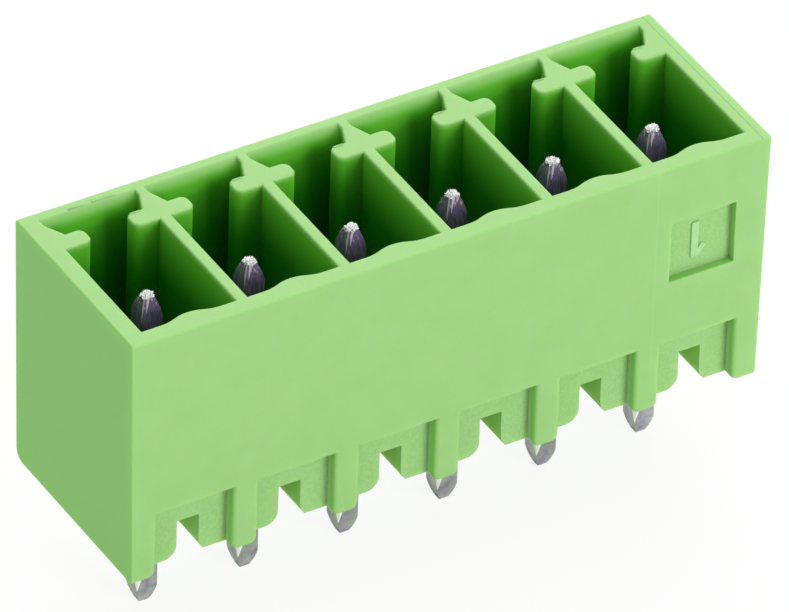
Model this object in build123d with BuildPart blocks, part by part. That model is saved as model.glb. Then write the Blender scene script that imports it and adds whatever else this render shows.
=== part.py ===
"""Six-pole shrouded pin header for a pluggable terminal block, straight version.

One moulded housing, open at the top, and six square pins pressed through its floor.
Millimetres, +Z up. X runs along the row of pins, and the front of the housing faces -Y.
The origin is the middle of the row of pins, on the face of the board that the header sits on.
"""
from build123d import *
import os

# Row of poles
POLES = 6
PITCH = 3.5

# Housing, outside
HOUSING_DEPTH = 7.1
HOUSING_HEIGHT = 9.0
FRONT_TO_PINS = 3.12
END_OVERHANG = 0.4
END_LEAN = 0.14
OUTER_EDGE_RADIUS = 0.06
BACK_FOOT_RADIUS = 0.45
RIM_RADIUS = 0.07

# Walls and floor
FRONT_WALL = 0.58
BACK_WALL = 0.64
END_WALL = 0.64
PARTITION = 0.4
FLOOR_TOP = 2.6

# Curved lead-in along the inside of the back wall
LEAD_IN_WIDTH = 0.3
LEAD_IN_HEIGHT = 0.7

# Keying rib down the middle of each cell's front wall
RIB_HEIGHT = 0.2
RIB_HALF_WIDTH = 1.0

# Cross on each partition and each end wall: two arms, and a gusset to the back wall
ARM_THICKNESS = 0.68
ARM_REACH = 1.03
ARM_TIP_RADIUS = 0.25
GUSSET_LENGTH = 0.66
GUSSET_ROOT = 0.88
GUSSET_END = 0.34

# Underside: rails that stand on the board, and a set-back skirt between their front ends
RAIL_WIDTH = 0.88
RAIL_EDGE_RADIUS = 0.25
RAIL_FRONT_RADIUS = 0.16
STAND_OFF = 0.15
SKIRT_HEIGHT = 2.45
SKIRT_SETBACK = 0.43

# Channel from the skirt to the well around each pin: round on the -X side, flared on the +X side
CHANNEL_WIDTH = 0.76
CHANNEL_TOP = 1.5
CHANNEL_MOUTH_RADIUS = 0.45
CHANNEL_FLARE_WIDTH = 0.16
CHANNEL_FLARE_HEIGHT = 0.45
WELL_WIDTH = 1.9

# Recess for the pole number, in front of the last pole
NUMBER_RECESS_WIDTH = 2.3
NUMBER_RECESS_HEIGHT = 2.25
NUMBER_RECESS_DEPTH = 0.28
NUMBER_RECESS_MIDDLE = 5.8

# Pins
PIN_WIDTH = 0.76
PIN_EDGE_RADIUS = 0.12
PIN_TOP = 8.03
PIN_TAIL = 3.42
PIN_TIP_LENGTH = 1.0
PIN_TIP_WIDTH = 0.32

# Worked out from the sizes above
HALF_ROW = POLES * PITCH / 2
FOOT_X = HALF_ROW + END_OVERHANG
RIM_X = FOOT_X + END_LEAN
FIRST_POLE_X = -PITCH * (POLES - 1) / 2
LAST_POLE_X = -FIRST_POLE_X
FRONT_Y = -FRONT_TO_PINS
BACK_Y = FRONT_Y + HOUSING_DEPTH
FRONT_INNER_Y = FRONT_Y + FRONT_WALL
BACK_INNER_Y = BACK_Y - BACK_WALL
ARM_FRONT_Y = BACK_INNER_Y - GUSSET_LENGTH - ARM_THICKNESS
END_INNER_X = RIM_X - END_WALL - LAST_POLE_X
FRONT_PLANE = Plane.XZ.offset(FRONT_TO_PINS)

os.makedirs("parts", exist_ok=True)


def half_cell(wall_x, gusset_x):
    """Plan of half a cell, from its middle to the wall at its +X side, with half a cross."""
    tip_x = PITCH / 2 - ARM_REACH
    with BuildSketch(mode=Mode.PRIVATE) as half:
        with BuildLine():
            crest = TangentArc(
                (0, FRONT_INNER_Y + RIB_HEIGHT),
                (RIB_HALF_WIDTH / 2, FRONT_INNER_Y + RIB_HEIGHT / 2),
                tangent=(1, 0),
            )
            flank = TangentArc(crest @ 1, (RIB_HALF_WIDTH, FRONT_INNER_Y), tangent=crest % 1)
            Polyline(
                flank @ 1,
                (wall_x, FRONT_INNER_Y),
                (wall_x, ARM_FRONT_Y),
                (tip_x, ARM_FRONT_Y),
                (tip_x, ARM_FRONT_Y + ARM_THICKNESS),
                ((PITCH - GUSSET_ROOT) / 2, ARM_FRONT_Y + ARM_THICKNESS),
                (gusset_x, BACK_INNER_Y),
                (0, BACK_INNER_Y),
                crest @ 0,
            )
        make_face()
        arm_front, arm_back = half.vertices().group_by(Axis.Y)[-3:-1]
        fillet([arm_front.sort_by(Axis.X)[0], arm_back.sort_by(Axis.X)[0]], ARM_TIP_RADIUS)
    return half.sketch


def channel_view():
    """Front view of one channel, from the board up."""
    half_width = CHANNEL_WIDTH / 2
    with BuildSketch(mode=Mode.PRIVATE) as channel:
        with BuildLine():
            mouth = TangentArc(
                (-half_width, STAND_OFF + CHANNEL_MOUTH_RADIUS),
                (-half_width - CHANNEL_MOUTH_RADIUS, STAND_OFF),
                tangent=(0, -1),
            )
            flare = TangentArc(
                (half_width, STAND_OFF + CHANNEL_FLARE_HEIGHT),
                (half_width + CHANNEL_FLARE_WIDTH, STAND_OFF),
                tangent=(0, -1),
            )
            Polyline(mouth @ 0, (-half_width, CHANNEL_TOP), (half_width, CHANNEL_TOP), flare @ 0)
            Polyline(
                flare @ 1,
                (half_width + CHANNEL_FLARE_WIDTH, 0),
                (-half_width - CHANNEL_MOUTH_RADIUS, 0),
                mouth @ 1,
            )
        make_face()
    return channel.sketch


def pin_outline():
    """Side view of a pin: straight, with a curved taper to a flat at both ends."""
    with BuildSketch(mode=Mode.PRIVATE) as outline:
        with BuildLine():
            side = Line(
                (PIN_WIDTH / 2, PIN_TIP_LENGTH - PIN_TAIL),
                (PIN_WIDTH / 2, PIN_TOP - PIN_TIP_LENGTH),
            )
            upper = TangentArc(side @ 1, (PIN_TIP_WIDTH / 2, PIN_TOP), tangent=(0, 1))
            lower = TangentArc(side @ 0, (PIN_TIP_WIDTH / 2, -PIN_TAIL), tangent=(0, -1))
            Line(upper @ 1, (0, PIN_TOP))
            Line(lower @ 1, (0, -PIN_TAIL))
            mirror(about=Plane.YZ)
        make_face()
    return outline.sketch


with BuildPart() as housing:
    # Moulded block, wider at the rim than at the foot, its lower back edge rounded
    with BuildSketch(FRONT_PLANE) as front_view:
        with BuildLine():
            Polyline(
                (-FOOT_X, 0),
                (FOOT_X, 0),
                (RIM_X, HOUSING_HEIGHT),
                (-RIM_X, HOUSING_HEIGHT),
                close=True,
            )
        make_face()
    extrude(amount=-HOUSING_DEPTH)
    lower_back_edge = housing.faces().sort_by(Axis.Y)[-1].edges().sort_by(Axis.Z)[0]
    fillet(lower_back_edge, BACK_FOOT_RADIUS)

    # Bays between the front ends of the rails, down to the skirt
    with BuildSketch(FRONT_PLANE) as bays:
        with Locations((0, SKIRT_HEIGHT / 2)):
            Rectangle(POLES * PITCH, SKIRT_HEIGHT)
        with Locations((0, SKIRT_HEIGHT)):
            with GridLocations(PITCH, 0, POLES + 1, 1):
                RectangleRounded(RAIL_WIDTH, 2 * SKIRT_HEIGHT, RAIL_EDGE_RADIUS, mode=Mode.SUBTRACT)
    extrude(amount=-SKIRT_SETBACK, mode=Mode.SUBTRACT)
    front_edges = housing.faces().sort_by(Axis.Y)[0].edges()
    fillet(front_edges.filter_by(lambda edge: edge.center().Z < SKIRT_HEIGHT * 3 / 4), RAIL_FRONT_RADIUS)

    # Stand-off under the body, between the rails
    with BuildSketch(FRONT_PLANE) as stand_off:
        add(bays.sketch_local)
        with Locations((0, STAND_OFF / 2)):
            Rectangle(POLES * PITCH, STAND_OFF, mode=Mode.INTERSECT)
    extrude(amount=-HOUSING_DEPTH, mode=Mode.SUBTRACT)

    # Channel from the skirt to each pin
    with BuildSketch(FRONT_PLANE) as channels:
        with GridLocations(PITCH, 0, POLES, 1):
            add(channel_view())
    extrude(amount=-FRONT_TO_PINS, mode=Mode.SUBTRACT)

    # Well around each pin, and its hole through the floor
    with BuildSketch(Plane.XY) as wells:
        with GridLocations(PITCH, 0, POLES, 1):
            Rectangle(WELL_WIDTH, WELL_WIDTH)
    extrude(amount=CHANNEL_TOP, mode=Mode.SUBTRACT)
    with BuildSketch(Plane.XY.offset(CHANNEL_TOP)) as pin_holes:
        with GridLocations(PITCH, 0, POLES, 1):
            RectangleRounded(PIN_WIDTH, PIN_WIDTH, PIN_EDGE_RADIUS)
    extrude(amount=FLOOR_TOP - CHANNEL_TOP, mode=Mode.SUBTRACT)

    # Cells that take the plug, with keying ribs and the crosses between them
    inner_half = half_cell((PITCH - PARTITION) / 2, (PITCH - GUSSET_END) / 2)
    end_half = half_cell(END_INNER_X, END_INNER_X)
    with BuildSketch(Plane.XY.offset(HOUSING_HEIGHT)) as cells:
        with GridLocations(PITCH, 0, POLES - 1, 1):
            with Locations((-PITCH / 2, 0)):
                add(inner_half)
            with Locations((PITCH / 2, 0)):
                add(mirror(inner_half, about=Plane.YZ, mode=Mode.PRIVATE))
        with Locations((LAST_POLE_X, 0)):
            add(end_half)
        with Locations((FIRST_POLE_X, 0)):
            add(mirror(end_half, about=Plane.YZ, mode=Mode.PRIVATE))
    extrude(amount=FLOOR_TOP - HOUSING_HEIGHT, mode=Mode.SUBTRACT)

    # Lead-in at the top of the back wall, in each cell
    for pole in range(POLES):
        pole_x = FIRST_POLE_X + pole * PITCH
        left_x = pole_x - (END_INNER_X if pole == 0 else (PITCH - GUSSET_END) / 2)
        right_x = pole_x + (END_INNER_X if pole == POLES - 1 else (PITCH - GUSSET_END) / 2)
        with BuildSketch(Plane.YZ.offset(left_x)) as lead_in:
            with BuildLine():
                slope = TangentArc(
                    (BACK_INNER_Y, HOUSING_HEIGHT - LEAD_IN_HEIGHT),
                    (BACK_INNER_Y + LEAD_IN_WIDTH, HOUSING_HEIGHT),
                    tangent=(0, 1),
                )
                Polyline(slope @ 1, (BACK_INNER_Y, HOUSING_HEIGHT), slope @ 0)
            make_face()
        extrude(amount=right_x - left_x, mode=Mode.SUBTRACT)

    # Recess for the pole number
    with BuildSketch(FRONT_PLANE) as number_recess:
        with Locations((LAST_POLE_X, NUMBER_RECESS_MIDDLE)):
            Rectangle(NUMBER_RECESS_WIDTH, NUMBER_RECESS_HEIGHT)
    extrude(amount=-NUMBER_RECESS_DEPTH, mode=Mode.SUBTRACT)

    # Rounded outline of both end faces, then the rim
    for end_face in (housing.faces().sort_by(Axis.X)[0], housing.faces().sort_by(Axis.X)[-1]):
        fillet(end_face.edges().sort_by(Axis.Z)[:-1], OUTER_EDGE_RADIUS)
    fillet(housing.faces().sort_by(Axis.Z)[-1].edges(), RIM_RADIUS)

housing.part.label = "housing"
export_step(housing.part, "parts/housing.step")

# Square pins, pressed through the floor
for pole in range(POLES):
    pole_x = FIRST_POLE_X + pole * PITCH
    with BuildPart() as pin:
        with BuildSketch(Plane.XY.offset(-PIN_TAIL)) as pin_section:
            with Locations((pole_x, 0)):
                RectangleRounded(PIN_WIDTH, PIN_WIDTH, PIN_EDGE_RADIUS)
        extrude(amount=PIN_TAIL + PIN_TOP)
        with BuildSketch(Plane.XZ.shift_origin((pole_x, 0, 0))) as front_view:
            add(pin_outline())
        extrude(amount=PIN_WIDTH, both=True, mode=Mode.INTERSECT)
        with BuildSketch(Plane.YZ.offset(pole_x)) as side_view:
            add(pin_outline())
        extrude(amount=PIN_WIDTH, both=True, mode=Mode.INTERSECT)
    pin.part.label = f"pin_{pole + 1}"
    export_step(pin.part, f"parts/pin_{pole + 1}.step")
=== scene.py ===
"""Dresses the shrouded pin header: moulded green housing, tinned pins, pole number and studio."""
import math

import bpy
from bpy.props import FloatProperty, FloatVectorProperty, IntProperty, PointerProperty
from bpy.types import Operator, Panel, PropertyGroup
from mathutils import Matrix, Vector


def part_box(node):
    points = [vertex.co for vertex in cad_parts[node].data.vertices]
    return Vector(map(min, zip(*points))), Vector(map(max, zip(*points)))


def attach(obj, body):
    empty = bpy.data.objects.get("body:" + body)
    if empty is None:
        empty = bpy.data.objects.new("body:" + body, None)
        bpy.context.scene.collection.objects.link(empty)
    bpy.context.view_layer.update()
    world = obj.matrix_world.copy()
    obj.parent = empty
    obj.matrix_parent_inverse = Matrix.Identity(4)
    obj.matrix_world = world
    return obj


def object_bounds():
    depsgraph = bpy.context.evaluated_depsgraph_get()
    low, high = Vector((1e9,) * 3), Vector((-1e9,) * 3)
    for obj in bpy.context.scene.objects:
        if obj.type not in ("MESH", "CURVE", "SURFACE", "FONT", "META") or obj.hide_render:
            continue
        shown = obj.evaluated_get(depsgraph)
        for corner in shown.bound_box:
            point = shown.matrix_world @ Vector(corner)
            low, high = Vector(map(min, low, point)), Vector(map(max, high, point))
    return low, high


bl_info = {
    "name": "Shrouded Pin Header",
    "version": (1, 0, 0),
    "blender": (4, 5, 0),
    "location": "View3D > Sidebar > Pin Header",
    "description": "Materials, small moulded details and a studio for a shrouded pin header",
    "category": "Object",
}

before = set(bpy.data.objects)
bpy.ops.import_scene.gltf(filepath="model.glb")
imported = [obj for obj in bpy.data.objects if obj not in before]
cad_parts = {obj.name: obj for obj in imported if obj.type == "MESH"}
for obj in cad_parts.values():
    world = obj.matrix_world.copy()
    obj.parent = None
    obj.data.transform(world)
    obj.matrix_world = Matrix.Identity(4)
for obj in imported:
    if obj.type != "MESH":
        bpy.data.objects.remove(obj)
bpy.ops.object.select_all(action="DESELECT")

CAD_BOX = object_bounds()
PIN_NAMES = sorted(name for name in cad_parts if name.startswith("pin_"))
MM = 0.001

# Places on the housing, in millimetres
POLES = 6
PITCH = 3.5
FIRST_POLE_X = -8.75
FRONT_Y = -3.12
RIM_Z = 9.0
FLOOR_TOP = 2.6
CELLS_X = (-10.6, 10.6)
CELLS_Y = (-2.7, 3.5)
END_FOOT_X = 10.9
END_LEAN = 0.14
SKIRT_Y = -2.69
SKIRT_TOP = 2.45
SKIRT_END_X = 10.5
UNDERSIDE_END_X = 10.45
RECESS_X = (7.6, 9.9)
RECESS_Z = (4.675, 6.925)
RECESS_FLOOR_Y = -2.84
NUMBER_X = 8.62

# Boxes on the housing with a finish of their own, some of them with painted light and shade: low
# corner, high corner, width of the soft edge
ZONES = {
    "recess": (
        (RECESS_X[0], RECESS_FLOOR_Y - 0.16, RECESS_Z[0]),
        (RECESS_X[1], RECESS_FLOOR_Y + 0.2, RECESS_Z[1]), 0.03),
    "skirt": (
        (-SKIRT_END_X, SKIRT_Y - 0.1, 0.0),
        (SKIRT_END_X, SKIRT_Y + 0.1, SKIRT_TOP), 0.02),
    # The cells: rougher faces, and painted shade inside them
    "cells": (
        (CELLS_X[0], CELLS_Y[0], FLOOR_TOP - 0.2),
        (CELLS_X[1], CELLS_Y[1], RIM_Z - 0.1), 0.2),
    # Painted shade on the side walls of the sunken places at the front
    "sunken_wall_shade": (
        (-UNDERSIDE_END_X, FRONT_Y + 0.06, -0.1),
        (UNDERSIDE_END_X, RECESS_FLOOR_Y - 0.03, RECESS_Z[1] + 0.05), 0.05),
    # Painted light behind the skirt
    "underside": (
        (-UNDERSIDE_END_X, SKIRT_Y + 0.12, -0.1),
        (UNDERSIDE_END_X, CELLS_Y[1], SKIRT_TOP), 0.05),
}

# A line that a joint of the mould leaves along the rim, and a painted highlight down the front,
# in millimetres
FRONT_HIGHLIGHT_X = 7.1
RIM_LINE_X = 10.73

# Torn flash: middle of each strip along X and Y, and its length
ARM_BACK_Y = 2.68
BACK_LIP_Y = 3.68
FLASH = [
    (FIRST_POLE_X + (pole + 0.5) * PITCH - 0.72, ARM_BACK_Y - 0.07, 0.32) for pole in range(POLES)
] + [(-9.15, BACK_LIP_Y, 0.5), (-8.2, BACK_LIP_Y, 0.8)]

# Places of the painted shade and painted highlights on the pins, in millimetres
TAIL_LOW_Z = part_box("pin_1")[0].z / MM
PIN_TOP_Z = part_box("pin_1")[1].z / MM
CONTACT_SHADE_Z = (2.0, 3.0)
# Painted highlight streaks round the crown of a contact end: where they start and are full, below
# the top
CROWN_HIGHLIGHT_BELOW_TOP = (0.45, 0.1)
# Painted highlight on the front corner of each tail: where it starts, is widest and ends, above
# the tip
TAIL_HIGHLIGHT_ABOVE_TIP = (0.55, 1.05, 1.35)
TAIL_HIGHLIGHT_HALF_WIDTH = 0.19
GLINT_HALF_WIDTH = 0.04
# Painted highlights, bright lines on a contact end: place across, and where each starts and is
# full, below the top
GLINTS = ((-0.04, 0.7, 0.3), (0.11, 0.45, 0.15))

WHITE = (1.0, 1.0, 1.0, 1)
CONTACT_SHINE = (1.0, 0.7, 1.0, 1)
# Painted highlight colour of the cropped ends
CROP_HIGHLIGHT = (1.0, 0.98, 1.0, 1)
FLASH_PALE = (0.42, 0.68, 0.32, 1)
PAPER_GREY = (0.86, 0.86, 0.86, 1)
PAPER_GLOW = 0.88
PAPER_SIZE = 4

# Lamps: name, place and size in metres, power in watts
LAMPS = (
    ("lamp_top", (0.05, 0.02, 0.55), 0.45, 1.3),
    ("lamp_back", (0.21, 0.34, 0.32), 0.30, 1.6),
    ("lamp_front", (0.22, -0.50, 0.22), 0.30, 2.1),
    ("lamp_left", (-0.50, -0.12, 0.20), 0.25, 0.5),
)

CROP_SEED = 11
FLASH_SEED = 40


class PH_HousingFinish(PropertyGroup):
    """Finish of the moulded housing, and the colours of its painted light and shade."""

    colour: FloatVectorProperty(
        name="Plastic colour", description="Colour of the moulded plastic",
        subtype="COLOR", default=(0.29, 0.525, 0.18), min=0, max=1)
    pale: FloatVectorProperty(
        name="Pale colour", description="Colour of the palest clouds and flecks",
        subtype="COLOR", default=(0.36, 0.60, 0.26), min=0, max=1)
    # Painted shade: this colour paints the end faces deeper, in place of the sheen they lack
    # under the lamps
    smooth: FloatVectorProperty(
        name="End colour", description="Deeper colour of the smoother end faces",
        subtype="COLOR", default=(0.238, 0.535, 0.136), min=0, max=1)
    # Painted shade: this colour paints the cells darker and greener just below the rim
    shallow_shade: FloatVectorProperty(
        name="Shallow colour",
        description="Colour just inside the cells, where light comes through the walls",
        subtype="COLOR", default=(0.12, 0.46, 0.025), min=0, max=1)
    # Painted shade: this colour paints the cells darker still further down
    deep_shade: FloatVectorProperty(
        name="Deep colour", description="Colour down inside the cells",
        subtype="COLOR", default=(0.014, 0.26, 0.001), min=0, max=1)
    # Painted light: this colour paints the places behind the skirt brighter
    under: FloatVectorProperty(
        name="Underside colour",
        description="Colour behind the skirt, where light comes through the walls",
        subtype="COLOR", default=(0.32, 0.64, 0.13), min=0, max=1)
    roughness: FloatProperty(
        name="Roughness", description="Roughness of the smooth faces",
        default=0.5, min=0, max=1, subtype="FACTOR")
    glow: FloatProperty(
        name="Translucency", description="How far light spreads in the plastic",
        default=0.5, min=0, max=1, subtype="FACTOR")


class PH_PinFinish(PropertyGroup):
    """Finish of the tinned pins, with painted shade on the contact ends and painted highlights.
    """

    bright: FloatVectorProperty(
        name="Tail colour", description="Colour of the clean tin on the tails",
        subtype="COLOR", default=(0.66, 0.65, 0.66), min=0, max=1)
    # Painted shade: this colour paints the contact ends inside the housing darker than the tails;
    # shares of it also tint blotches on the tails and grit on the crops
    dull: FloatVectorProperty(
        name="Contact colour", description="Colour of the dull tin on the contact ends",
        subtype="COLOR", default=(0.52, 0.32, 0.76), min=0, max=1)
    roughness: FloatProperty(
        name="Roughness", description="Roughness of the tin",
        default=0.25, min=0, max=1, subtype="FACTOR")


class PH_Number(PropertyGroup):
    """The raised pole number in its recess."""

    height: FloatProperty(
        name="Height", description="Height of the figure",
        default=1.3 * MM, min=0.0001, unit="LENGTH")
    stroke: FloatProperty(
        name="Stroke", description="Width of the figure's stroke",
        default=0.26 * MM, min=0.00001, unit="LENGTH")
    flag: FloatProperty(
        name="Flag", description="Length of the figure's slanted stroke",
        default=0.52 * MM, min=0.00001, unit="LENGTH")
    relief: FloatProperty(
        name="Relief", description="How far the figure stands off the recess floor",
        default=0.05 * MM, min=0.00001, unit="LENGTH")


class PH_Crop(PropertyGroup):
    """The ragged cropped end of each pin."""

    side: FloatProperty(
        name="Side", description="Width of the cropped end",
        default=0.33 * MM, min=0.00001, unit="LENGTH")
    thick: FloatProperty(
        name="Thickness", description="Thickness of the torn metal",
        default=0.08 * MM, min=0.00001, unit="LENGTH")
    ragged: FloatProperty(
        name="Raggedness", description="How far the torn metal strays",
        default=0.09 * MM, min=0, unit="LENGTH")


class PH_Flash(PropertyGroup):
    """Torn flash along the tops of some edges."""

    width: FloatProperty(
        name="Width", description="Width of the flash",
        default=0.045 * MM, min=0.00001, unit="LENGTH")
    height: FloatProperty(
        name="Height", description="Height of the flash above the rim",
        default=0.02 * MM, min=0.00001, unit="LENGTH")
    cuts: IntProperty(
        name="Cuts", description="How often each strip is divided", default=9, min=1, max=30)


class PH_Studio(PropertyGroup):
    """Camera and lights."""

    azimuth: FloatProperty(
        name="Azimuth", description="Turn of the camera round the header",
        subtype="ANGLE", default=math.radians(31.5174))
    elevation: FloatProperty(
        name="Elevation", description="Camera's height above the horizon",
        subtype="ANGLE", default=math.radians(37.3398))
    roll: FloatProperty(
        name="Roll", description="Turn of the picture",
        subtype="ANGLE", default=math.radians(1.9788))
    lens: FloatProperty(
        name="Lens", description="Focal length on a 36 mm wide picture", default=623.3, min=1)
    place: FloatVectorProperty(
        name="Place", description="Where the camera stands",
        subtype="TRANSLATION", default=(-0.1708368, -0.2783578, 0.2536126))
    surround: FloatProperty(
        name="Surround", description="Brightness of the room", default=0.34, min=0)


def opaque(colour, share=1.0):
    """A colour at a share of its strength, with the fourth value that sockets need."""
    return tuple(share * part for part in colour) + (1,)


class Sheet:
    """Node tree with short calls for the nodes that the finishes use."""

    def __init__(self, tree):
        self.tree = tree

    def node(self, kind, **settings):
        made = self.tree.nodes.new(kind)
        for name, value in settings.items():
            setattr(made, name, value)
        return made

    def put(self, socket, value):
        if isinstance(value, bpy.types.NodeSocket):
            self.tree.links.new(value, socket)
        elif value is not None:
            socket.default_value = value

    def maths(self, operation, first, second=None, third=None, clamp=False):
        made = self.node("ShaderNodeMath", operation=operation, use_clamp=clamp)
        for socket, value in zip(made.inputs, (first, second, third)):
            self.put(socket, value)
        return made.outputs[0]

    def distance(self, value, middle):
        """How far a value is from a middle, either way."""
        return self.maths("ABSOLUTE", self.maths("SUBTRACT", value, middle))

    def vector(self, operation, first, second=None):
        made = self.node("ShaderNodeVectorMath", operation=operation)
        self.put(made.inputs[0], first)
        self.put(made.inputs[1], second)
        return made.outputs[0]

    def split(self, vector):
        """X, Y and Z of a vector."""
        made = self.node("ShaderNodeSeparateXYZ")
        self.put(made.inputs[0], vector)
        return made.outputs

    def ramp(self, value, low, high, out_low=0.0, out_high=1.0):
        made = self.node("ShaderNodeMapRange", clamp=True)
        for name, item in (("Value", value), ("From Min", low), ("From Max", high),
                           ("To Min", out_low), ("To Max", out_high)):
            self.put(made.inputs[name], item)
        return made.outputs[0]

    def blend(self, factor, first, second):
        made = self.node("ShaderNodeMix", data_type="RGBA")
        self.put(made.inputs[0], factor)
        self.put(made.inputs[6], first)
        self.put(made.inputs[7], second)
        return made.outputs[2]

    def noise(self, vector, scale, detail=2.0, rough=0.5):
        made = self.node("ShaderNodeTexNoise")
        for name, item in (("Vector", vector), ("Scale", scale),
                           ("Detail", detail), ("Roughness", rough)):
            self.put(made.inputs[name], item)
        return made.outputs["Fac"]

    def group(self, tree, **values):
        made = self.node("ShaderNodeGroup")
        made.node_tree = tree
        for name, item in values.items():
            self.put(made.inputs[name.replace("_", " ").capitalize()], item)
        return made.outputs

    def place_mm(self):
        """Object coordinates in millimetres."""
        coords = self.node("ShaderNodeTexCoord").outputs["Object"]
        return self.vector("MULTIPLY", coords, (1 / MM, 1 / MM, 1 / MM))

    def eye_rays(self):
        """Mask that is 1 where the camera looks, straight or through something clear."""
        rays = self.node("ShaderNodeLightPath").outputs
        return self.maths("MAXIMUM", rays["Is Camera Ray"], rays["Is Transmission Ray"])

    def finish(self, colour, roughness, height=None, strength=0.3, distance=0.02 * MM, **own):
        """Principled surface, with plain values on its own sockets."""
        shader = self.node("ShaderNodeBsdfPrincipled")
        self.put(shader.inputs["Base Color"], colour)
        self.put(shader.inputs["Roughness"], roughness)
        for name, item in own.items():
            self.put(shader.inputs[name.replace("_", " ")], item)
        if height is not None:
            bump = self.node("ShaderNodeBump")
            bump.inputs["Strength"].default_value = strength
            bump.inputs["Distance"].default_value = distance
            self.put(bump.inputs["Height"], height)
            self.put(shader.inputs["Normal"], bump.outputs[0])
        out = self.node("ShaderNodeOutputMaterial")
        self.put(out.inputs["Surface"], shader.outputs[0])
        return shader


def new_group(name, inputs, outputs):
    """Empty shader group with named sockets, and its input and output nodes."""
    tree = bpy.data.node_groups.new(name, "ShaderNodeTree")
    for label, kind, default in inputs:
        socket = tree.interface.new_socket(name=label, in_out="INPUT", socket_type=kind)
        if default is not None:
            socket.default_value = default
    for label, kind in outputs:
        tree.interface.new_socket(name=label, in_out="OUTPUT", socket_type=kind)
    sheet = Sheet(tree)
    return sheet, sheet.node("NodeGroupInput").outputs, sheet.node("NodeGroupOutput").inputs


def zone_group():
    """Mask that is 1 inside a box and fades out over its softness."""
    sheet, given, out = new_group(
        "zone",
        (("Place", "NodeSocketVector", None), ("Low", "NodeSocketVector", (0, 0, 0)),
         ("High", "NodeSocketVector", (1, 1, 1)), ("Soft", "NodeSocketFloat", 0.05)),
        (("Mask", "NodeSocketFloat"),))
    above = sheet.vector("SUBTRACT", given["Place"], given["Low"])
    below = sheet.vector("SUBTRACT", given["High"], given["Place"])
    x, y, z = sheet.split(sheet.vector("MINIMUM", above, below))
    nearest = sheet.maths("MINIMUM", sheet.maths("MINIMUM", x, y), z)
    over = sheet.maths("DIVIDE", nearest, given["Soft"])
    sheet.put(out["Mask"], sheet.maths("ADD", over, 0.5, clamp=True))
    return sheet.tree


def grain_group():
    """Moulded surface: broad clouds, fine grain and sparse flecks."""
    sheet, given, out = new_group(
        "moulded grain",
        (("Place", "NodeSocketVector", None), ("Grain scale", "NodeSocketFloat", 9.0)),
        (("Clouds", "NodeSocketFloat"), ("Grain", "NodeSocketFloat"),
         ("Flecks", "NodeSocketFloat")))
    sheet.put(out["Clouds"], sheet.noise(given["Place"], 0.9, 3.0, 0.55))
    grain = sheet.noise(given["Place"], given["Grain scale"], 3.0, 0.65)
    sheet.put(out["Grain"], grain)
    flecks = sheet.noise(given["Place"], 11.0, 2.0, 0.6)
    sheet.put(out["Flecks"], sheet.ramp(flecks, 0.42, 0.68))
    return sheet.tree


def lines_group():
    """A faint dark mould line along the top of an end, and a painted highlight: a light line down
    the front.
    """
    sheet, given, out = new_group(
        "mould line and highlight",
        (("Place", "NodeSocketVector", None),),
        (("Dark", "NodeSocketFloat"), ("Light", "NodeSocketFloat")))
    x, y, z = sheet.split(given["Place"])
    on_rim = sheet.maths("GREATER_THAN", z, RIM_Z - 0.03)
    on_front = sheet.maths("LESS_THAN", y, SKIRT_Y)
    near_rim_line = sheet.ramp(sheet.distance(x, RIM_LINE_X), 0.03, 0.01, 0.0, 0.75)
    # Painted highlight: a light line down the front faces
    near_front_highlight = sheet.ramp(sheet.distance(x, FRONT_HIGHLIGHT_X), 0.04, 0.01, 0.0, 0.25)
    sheet.put(out["Dark"], sheet.maths("MULTIPLY", near_rim_line, on_rim))
    sheet.put(out["Light"], sheet.maths("MULTIPLY", near_front_highlight, on_front))
    return sheet.tree


def drawn_group():
    """Drawn wire: streaks along each pin, duller blotches, place across, and front half."""
    sheet, given, out = new_group(
        "drawn metal",
        (("Place", "NodeSocketVector", None),),
        (("Streaks", "NodeSocketFloat"), ("Blotches", "NodeSocketFloat"),
         ("Across", "NodeSocketFloat"), ("Front", "NodeSocketFloat")))
    long_way = sheet.vector("MULTIPLY", given["Place"], (1.0, 1.0, 0.12))
    sheet.put(out["Streaks"], sheet.noise(long_way, 14.0, 3.0, 0.6))
    sheet.put(out["Blotches"], sheet.noise(given["Place"], 2.6, 3.0, 0.6))
    x, y, _ = sheet.split(given["Place"])
    # X from the middle of the pin's own pole
    own_x = sheet.maths("WRAP", sheet.maths("SUBTRACT", x, FIRST_POLE_X), PITCH / 2, -PITCH / 2)
    sheet.put(out["Across"], sheet.maths("SUBTRACT", own_x, y))
    sheet.put(out["Front"], sheet.maths("LESS_THAN", sheet.maths("ADD", own_x, y), 0.0))
    return sheet.tree


def group_named(name, make):
    return bpy.data.node_groups.get(name) or make()


def new_material(name):
    made = bpy.data.materials.new(name)
    made.use_nodes = True
    made.node_tree.nodes.clear()
    return made, Sheet(made.node_tree)


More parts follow.
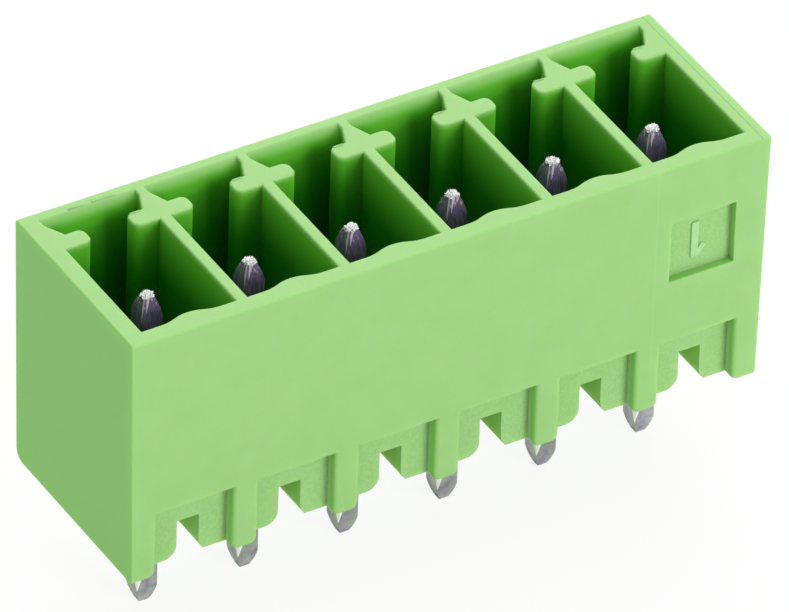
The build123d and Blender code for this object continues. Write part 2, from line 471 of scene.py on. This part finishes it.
def plastic_material(look):
    """Slightly translucent moulded plastic, rougher where the tool was spark-eroded, with painted
    light behind the skirt and painted shade in the cells and sunken places.
    """
    made, sheet = new_material("moulded green plastic")
    place = sheet.place_mm()
    x, _, z = sheet.split(place)
    grain = sheet.group(group_named("moulded grain", grain_group), place=place)
    lines = sheet.group(group_named("mould line and highlight", lines_group), place=place)
    zone = group_named("zone", zone_group)
    inside = {
        name: sheet.group(zone, place=place, low=low, high=high, soft=soft)["Mask"]
        for name, (low, high, soft) in ZONES.items()
    }
    eroded = sheet.maths("MAXIMUM", inside["recess"], inside["skirt"])

    # Pale clouds and flecks
    clouds = sheet.ramp(grain["Clouds"], 0.35, 0.68, 0.0, 0.2)
    colour = sheet.blend(clouds, opaque(look.colour), opaque(look.pale))
    fleck_share = sheet.maths("MULTIPLY_ADD", eroded, 0.5, 0.05)
    flecks = sheet.maths("MULTIPLY", grain["Flecks"], fleck_share)
    colour = sheet.blend(flecks, colour, opaque(look.pale))

    # Painted shade: the two end faces, which lean outwards, are painted a deeper green than the
    # front and top
    end_face = sheet.maths("MULTIPLY_ADD", z, END_LEAN / RIM_Z, END_FOOT_X)
    past_end = sheet.maths("SUBTRACT", sheet.maths("ABSOLUTE", x), end_face)
    colour = sheet.blend(sheet.ramp(past_end, -0.03, -0.01), colour, opaque(look.smooth))

    # Painted light: the underside behind the skirt is painted brighter, for light that comes
    # through the walls
    colour = sheet.blend(inside["underside"], colour, opaque(look.under))
    # Painted shade: the side walls of the sunken places, at half strength, and the cells are
    # painted darker and greener
    half_sunken = sheet.maths("MULTIPLY", inside["sunken_wall_shade"], 0.5)
    shallow_shade = sheet.maths("MAXIMUM", inside["cells"], half_sunken)
    colour = sheet.blend(shallow_shade, colour, opaque(look.shallow_shade))
    # Painted shade: the cells get darker the further down they go below the rim
    depth = sheet.maths("POWER", sheet.ramp(z, RIM_Z - 0.2, RIM_Z - 2.2), 0.6)
    deep_shade = sheet.maths("MULTIPLY", inside["cells"], depth)
    colour = sheet.blend(deep_shade, colour, opaque(look.deep_shade))

    colour = sheet.blend(lines["Dark"], colour, opaque(look.colour, 0.7))
    # Painted highlight: a light line down the front
    colour = sheet.blend(lines["Light"], colour, opaque(look.pale))

    coarse = sheet.maths("MAXIMUM", eroded, inside["cells"])
    roughness = sheet.maths("MULTIPLY_ADD", coarse, 0.25, look.roughness)
    roughness = sheet.maths("MULTIPLY_ADD", grain["Clouds"], 0.08, roughness)
    grain_share = sheet.maths("MULTIPLY_ADD", eroded, 2.0, 0.4)
    height = sheet.maths("MULTIPLY", grain["Grain"], grain_share)
    sheet.finish(
        colour, roughness, height, strength=0.35, Subsurface_Weight=look.glow,
        Subsurface_Radius=(0.5, 1.0, 0.25), Subsurface_Scale=0.5 * MM,
        IOR=1.5, Specular_IOR_Level=0.18)
    return made


def tin_material(look):
    """Tin plate over drawn square wire, pale on the tails and painted dull on the contact ends as
    painted shade, with painted highlights.
    """
    made, sheet = new_material("tinned wire")
    place = sheet.place_mm()
    _, _, z = sheet.split(place)
    drawn = sheet.group(group_named("drawn metal", drawn_group), place=place)
    # Painted shade: above this height the pins are painted the dull contact colour
    upper = sheet.ramp(z, *CONTACT_SHADE_Z)
    streaks = sheet.ramp(drawn["Streaks"], 0.35, 0.65)
    contact = sheet.blend(streaks, opaque(look.dull), opaque(look.dull, 0.42))
    blotches = sheet.ramp(drawn["Blotches"], 0.35, 0.65, 0.0, 0.6)
    tail = sheet.blend(blotches, opaque(look.bright), opaque(look.dull, 0.6))
    colour = sheet.blend(upper, tail, contact)

    # Painted highlight: a white teardrop on the front corner of a tail
    start, widest, end = (TAIL_LOW_Z + height for height in TAIL_HIGHLIGHT_ABOVE_TIP)
    widening = sheet.ramp(z, start, widest, 0.0, TAIL_HIGHLIGHT_HALF_WIDTH)
    tail_highlight_half = sheet.maths("MULTIPLY", widening, sheet.ramp(z, end, widest))
    off_corner = sheet.maths("ABSOLUTE", drawn["Across"])
    shine = sheet.maths("LESS_THAN", off_corner, tail_highlight_half)

    # Painted highlights: bright lines on the front of a contact end, and bright streaks all round
    # its crown
    for across, start, full in GLINTS:
        half = sheet.ramp(z, PIN_TOP_Z - start, PIN_TOP_Z - full, 0.0, GLINT_HALF_WIDTH)
        glint = sheet.maths("LESS_THAN", sheet.distance(drawn["Across"], across), half)
        shine = sheet.maths("MAXIMUM", shine, glint)
    shine = sheet.maths("MULTIPLY", shine, drawn["Front"])
    crown = sheet.ramp(z, PIN_TOP_Z - CROWN_HIGHLIGHT_BELOW_TOP[0], PIN_TOP_Z - CROWN_HIGHLIGHT_BELOW_TOP[1])
    crown_highlight = sheet.maths("MULTIPLY", crown, sheet.ramp(drawn["Streaks"], 0.55, 0.6))
    shine = sheet.maths("MAXIMUM", crown_highlight, shine)
    # Painted highlights, white on the tails and pale violet on the contact ends
    colour = sheet.blend(shine, colour, sheet.blend(upper, WHITE, CONTACT_SHINE))

    roughness = sheet.maths("MULTIPLY_ADD", drawn["Streaks"], 0.16, look.roughness - 0.08)
    metallic = sheet.maths("MULTIPLY_ADD", upper, -0.5, 1.0)
    metallic = sheet.maths("MULTIPLY", metallic, sheet.maths("MULTIPLY_ADD", shine, -0.8, 1.0))
    sheet.finish(
        colour, roughness, drawn["Streaks"], strength=0.15, distance=0.01 * MM, Metallic=metallic)
    return made


def crop_material(look):
    """Torn metal at a cropped end, with darker grit, painted near-white as a painted highlight.
    """
    made, sheet = new_material("cropped metal")
    grit = sheet.noise(sheet.place_mm(), 16.0, 3.0, 0.7)
    colour = sheet.blend(sheet.ramp(grit, 0.28, 0.38), opaque(look.dull, 0.5), CROP_HIGHLIGHT)
    sheet.finish(colour, sheet.ramp(grit, 0.3, 0.7, 0.25, 0.45), grit)
    return made


def flash_material(look):
    """Thin raised plastic, a little paler than the rest."""
    made, sheet = new_material("torn flash")
    grit = sheet.noise(sheet.place_mm(), 12.0, 2.0, 0.6)
    colour = sheet.blend(grit, opaque(look.colour), FLASH_PALE)
    roughness = sheet.ramp(grit, 0.3, 0.7, 0.5, 0.7)
    sheet.finish(colour, roughness, grit, strength=0.2, distance=0.01 * MM)
    return made


def wear(piece, material):
    piece.data.materials.clear()
    piece.data.materials.append(material)


def only(piece):
    """Makes a piece the only one selected."""
    bpy.ops.object.select_all(action="DESELECT")
    piece.select_set(True)
    bpy.context.view_layer.objects.active = piece


def settle(piece, name, material):
    """Bakes a piece's place into its mesh, and hands it to the frame."""
    only(piece)
    bpy.ops.object.transform_apply(location=True, rotation=True, scale=True)
    piece.name = name
    piece.data.name = name
    wear(piece, material)
    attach(piece, "root")


def apply_modifiers(piece):
    only(piece)
    for modifier in list(piece.modifiers):
        bpy.ops.object.modifier_apply(modifier=modifier.name)


class PH_OT_housing(Operator):
    """Give the housing its moulded green plastic"""

    bl_idname = "pinheader.housing"
    bl_label = "Housing Plastic"

    def execute(self, context):
        wear(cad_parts["housing"], plastic_material(context.scene.ph_housing))
        return {"FINISHED"}


class PH_OT_pins(Operator):
    """Give the pins their tin plate"""

    bl_idname = "pinheader.pins"
    bl_label = "Tinned Pins"

    def execute(self, context):
        tin = tin_material(context.scene.ph_pins)
        for name in PIN_NAMES:
            wear(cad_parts[name], tin)
        return {"FINISHED"}


class PH_OT_crops(Operator):
    """Put a ragged cropped end on top of each pin"""

    bl_idname = "pinheader.crops"
    bl_label = "Cropped Pin Ends"

    def execute(self, context):
        look = context.scene.ph_crop
        metal = crop_material(context.scene.ph_pins)
        for number, name in enumerate(PIN_NAMES):
            low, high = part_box(name)
            middle = (low + high) / 2
            bpy.ops.mesh.primitive_ico_sphere_add(
                subdivisions=4, radius=0.5, location=(middle.x, middle.y, high.z),
                rotation=(0, 0, 0.7 * number), scale=(look.side, look.side, look.thick))
            crop = context.active_object
            bpy.ops.object.transform_apply(location=False, rotation=True, scale=True)
            bpy.ops.object.mode_set(mode="EDIT")
            bpy.ops.mesh.select_all(action="SELECT")
            bpy.ops.transform.vertex_random(
                offset=look.ragged, normal=0.5, seed=CROP_SEED + number)
            bpy.ops.object.mode_set(mode="OBJECT")
            settle(crop, f"crop_{name}", metal)
        return {"FINISHED"}


class PH_OT_flash(Operator):
    """Leave torn flash on the tops of the arms and the back lip"""

    bl_idname = "pinheader.flash"
    bl_label = "Mould Flash"

    def execute(self, context):
        look = context.scene.ph_flash
        torn = flash_material(context.scene.ph_housing)
        for number, (x, y, length) in enumerate(FLASH):
            bpy.ops.mesh.primitive_cube_add(
                size=1, location=(x * MM, y * MM, RIM_Z * MM),
                scale=(length * MM, look.width, 2 * look.height))
            strip = context.active_object
            bpy.ops.object.transform_apply(location=False, rotation=False, scale=True)
            bpy.ops.object.mode_set(mode="EDIT")
            bpy.ops.mesh.select_all(action="SELECT")
            bpy.ops.mesh.subdivide(number_cuts=look.cuts)
            bpy.ops.transform.vertex_random(
                offset=0.7 * look.height, seed=FLASH_SEED + number)
            bpy.ops.mesh.normals_make_consistent(inside=False)
            bpy.ops.object.mode_set(mode="OBJECT")
            settle(strip, f"flash_{number + 1}", torn)
        return {"FINISHED"}


class PH_OT_number(Operator):
    """Raise the pole number in its recess, upside down as it is moulded"""

    bl_idname = "pinheader.number"
    bl_label = "Pole Number"

    def execute(self, context):
        look = context.scene.ph_number
        middle = Vector((NUMBER_X, RECESS_FLOOR_Y, sum(RECESS_Z) / 2)) * MM
        foot = middle - Vector((0, 0, look.height / 2))
        slant = math.radians(40)
        along = Vector((math.sin(slant), 0, math.cos(slant)))
        # The flag is a little narrower and lower than the stem, so no two faces coincide
        bpy.ops.mesh.primitive_cube_add(
            size=1, location=foot + along * look.flag / 2, rotation=(0, slant, 0),
            scale=(0.75 * look.stroke, 1.9 * look.relief, look.flag))
        flag = context.active_object
        bpy.ops.mesh.primitive_cube_add(
            size=1, location=middle, scale=(look.stroke, 2 * look.relief, look.height))
        figure = context.active_object
        flag.select_set(True)
        bpy.ops.object.transform_apply(location=True, rotation=True, scale=True)
        bpy.ops.object.join()
        soften = figure.modifiers.new("soften", "BEVEL")
        soften.width = 0.5 * look.relief
        soften.segments = 3
        apply_modifiers(figure)
        # The flash operator has run before and made this material
        settle(figure, "pole_number", bpy.data.materials["torn flash"])
        return {"FINISHED"}


class PH_OT_studio(Operator):
    """Set up the camera, the lights, the room and the floor"""

    bl_idname = "pinheader.studio"
    bl_label = "Studio"

    def execute(self, context):
        look = context.scene.ph_studio
        self.camera(context, look)
        self.room(context, look)
        self.floor(context)
        for name, place, size, power in LAMPS:
            self.lamp(context, name, place, size, power)
        return {"FINISHED"}

    def camera(self, context, look):
        ahead = Vector((math.sin(look.azimuth) * math.cos(look.elevation),
                        math.cos(look.azimuth) * math.cos(look.elevation),
                        -math.sin(look.elevation)))
        level = ahead.cross(Vector((0, 0, 1))).normalized()
        upright = level.cross(ahead)
        right = level * math.cos(look.roll) + upright * math.sin(look.roll)
        up = upright * math.cos(look.roll) - level * math.sin(look.roll)
        data = bpy.data.cameras.new("camera")
        data.lens = look.lens
        data.sensor_width = 36
        data.clip_start = 0.01
        data.clip_end = 10
        camera = bpy.data.objects.new("camera", data)
        turn = Matrix((right, up, -ahead)).transposed()
        camera.matrix_world = Matrix.Translation(Vector(look.place)) @ turn.to_4x4()
        context.scene.collection.objects.link(camera)
        context.scene.camera = camera

    def room(self, context, look):
        world = bpy.data.worlds.new("room")
        world.use_nodes = True
        world.node_tree.nodes.clear()
        sheet = Sheet(world.node_tree)
        back = sheet.node("ShaderNodeBackground")
        sheet.put(back.inputs["Color"], WHITE)
        sheet.put(
            back.inputs["Strength"], sheet.ramp(sheet.eye_rays(), 0.0, 1.0, look.surround, 1.0))
        out = sheet.node("ShaderNodeOutputWorld")
        sheet.put(out.inputs["Surface"], back.outputs[0])
        context.scene.world = world
        context.scene.view_settings.view_transform = "Standard"

    def floor(self, context):
        bpy.ops.mesh.primitive_plane_add(size=PAPER_SIZE, location=(0, 0, CAD_BOX[0][2]))
        ground = context.active_object
        ground.name = "floor"
        made, sheet = new_material("studio paper")
        paper = sheet.node("ShaderNodeBsdfDiffuse")
        sheet.put(paper.inputs["Color"], PAPER_GREY)
        white = sheet.node("ShaderNodeEmission")
        sheet.put(white.inputs["Color"], WHITE)
        mixed = sheet.node("ShaderNodeMixShader")
        sheet.put(mixed.inputs[0], sheet.maths("MULTIPLY", sheet.eye_rays(), PAPER_GLOW))
        sheet.put(mixed.inputs[1], paper.outputs[0])
        sheet.put(mixed.inputs[2], white.outputs[0])
        out = sheet.node("ShaderNodeOutputMaterial")
        sheet.put(out.inputs["Surface"], mixed.outputs[0])
        wear(ground, made)

    def lamp(self, context, name, place, size, power):
        data = bpy.data.lights.new(name, "AREA")
        data.shape = "SQUARE"
        data.size = size
        data.energy = power
        lamp = bpy.data.objects.new(name, data)
        lamp.location = place
        lamp.rotation_euler = (-Vector(place)).to_track_quat("-Z", "Y").to_euler()
        context.scene.collection.objects.link(lamp)


class PH_PT_panel(Panel):
    """Lists the header's pieces and their finishes"""

    bl_idname = "PH_PT_panel"
    bl_label = "Pin Header"
    bl_space_type = "VIEW_3D"
    bl_region_type = "UI"
    bl_category = "Pin Header"

    def draw(self, context):
        for operator, group in STEPS:
            box = self.layout.box()
            box.operator(operator.bl_idname)
            settings = getattr(context.scene, group)
            for name in settings.__annotations__:
                box.prop(settings, name)


STEPS = (
    (PH_OT_housing, "ph_housing"),
    (PH_OT_pins, "ph_pins"),
    (PH_OT_crops, "ph_crop"),
    (PH_OT_flash, "ph_flash"),
    (PH_OT_number, "ph_number"),
    (PH_OT_studio, "ph_studio"),
)
GROUPS = (
    ("ph_housing", PH_HousingFinish),
    ("ph_pins", PH_PinFinish),
    ("ph_crop", PH_Crop),
    ("ph_flash", PH_Flash),
    ("ph_number", PH_Number),
    ("ph_studio", PH_Studio),
)


def register():
    for name, group in GROUPS:
        bpy.utils.register_class(group)
        setattr(bpy.types.Scene, name, PointerProperty(type=group))
    for operator, _ in STEPS:
        bpy.utils.register_class(operator)
    bpy.utils.register_class(PH_PT_panel)


def unregister():
    bpy.utils.unregister_class(PH_PT_panel)
    for operator, _ in reversed(STEPS):
        bpy.utils.unregister_class(operator)
    for name, group in reversed(GROUPS):
        delattr(bpy.types.Scene, name)
        bpy.utils.unregister_class(group)


def main():
    register()
    bpy.ops.pinheader.housing()
    bpy.ops.pinheader.pins()
    bpy.ops.pinheader.crops()
    bpy.ops.pinheader.flash()
    bpy.ops.pinheader.number()
    bpy.ops.pinheader.studio()


if __name__ == "__main__":
    main()
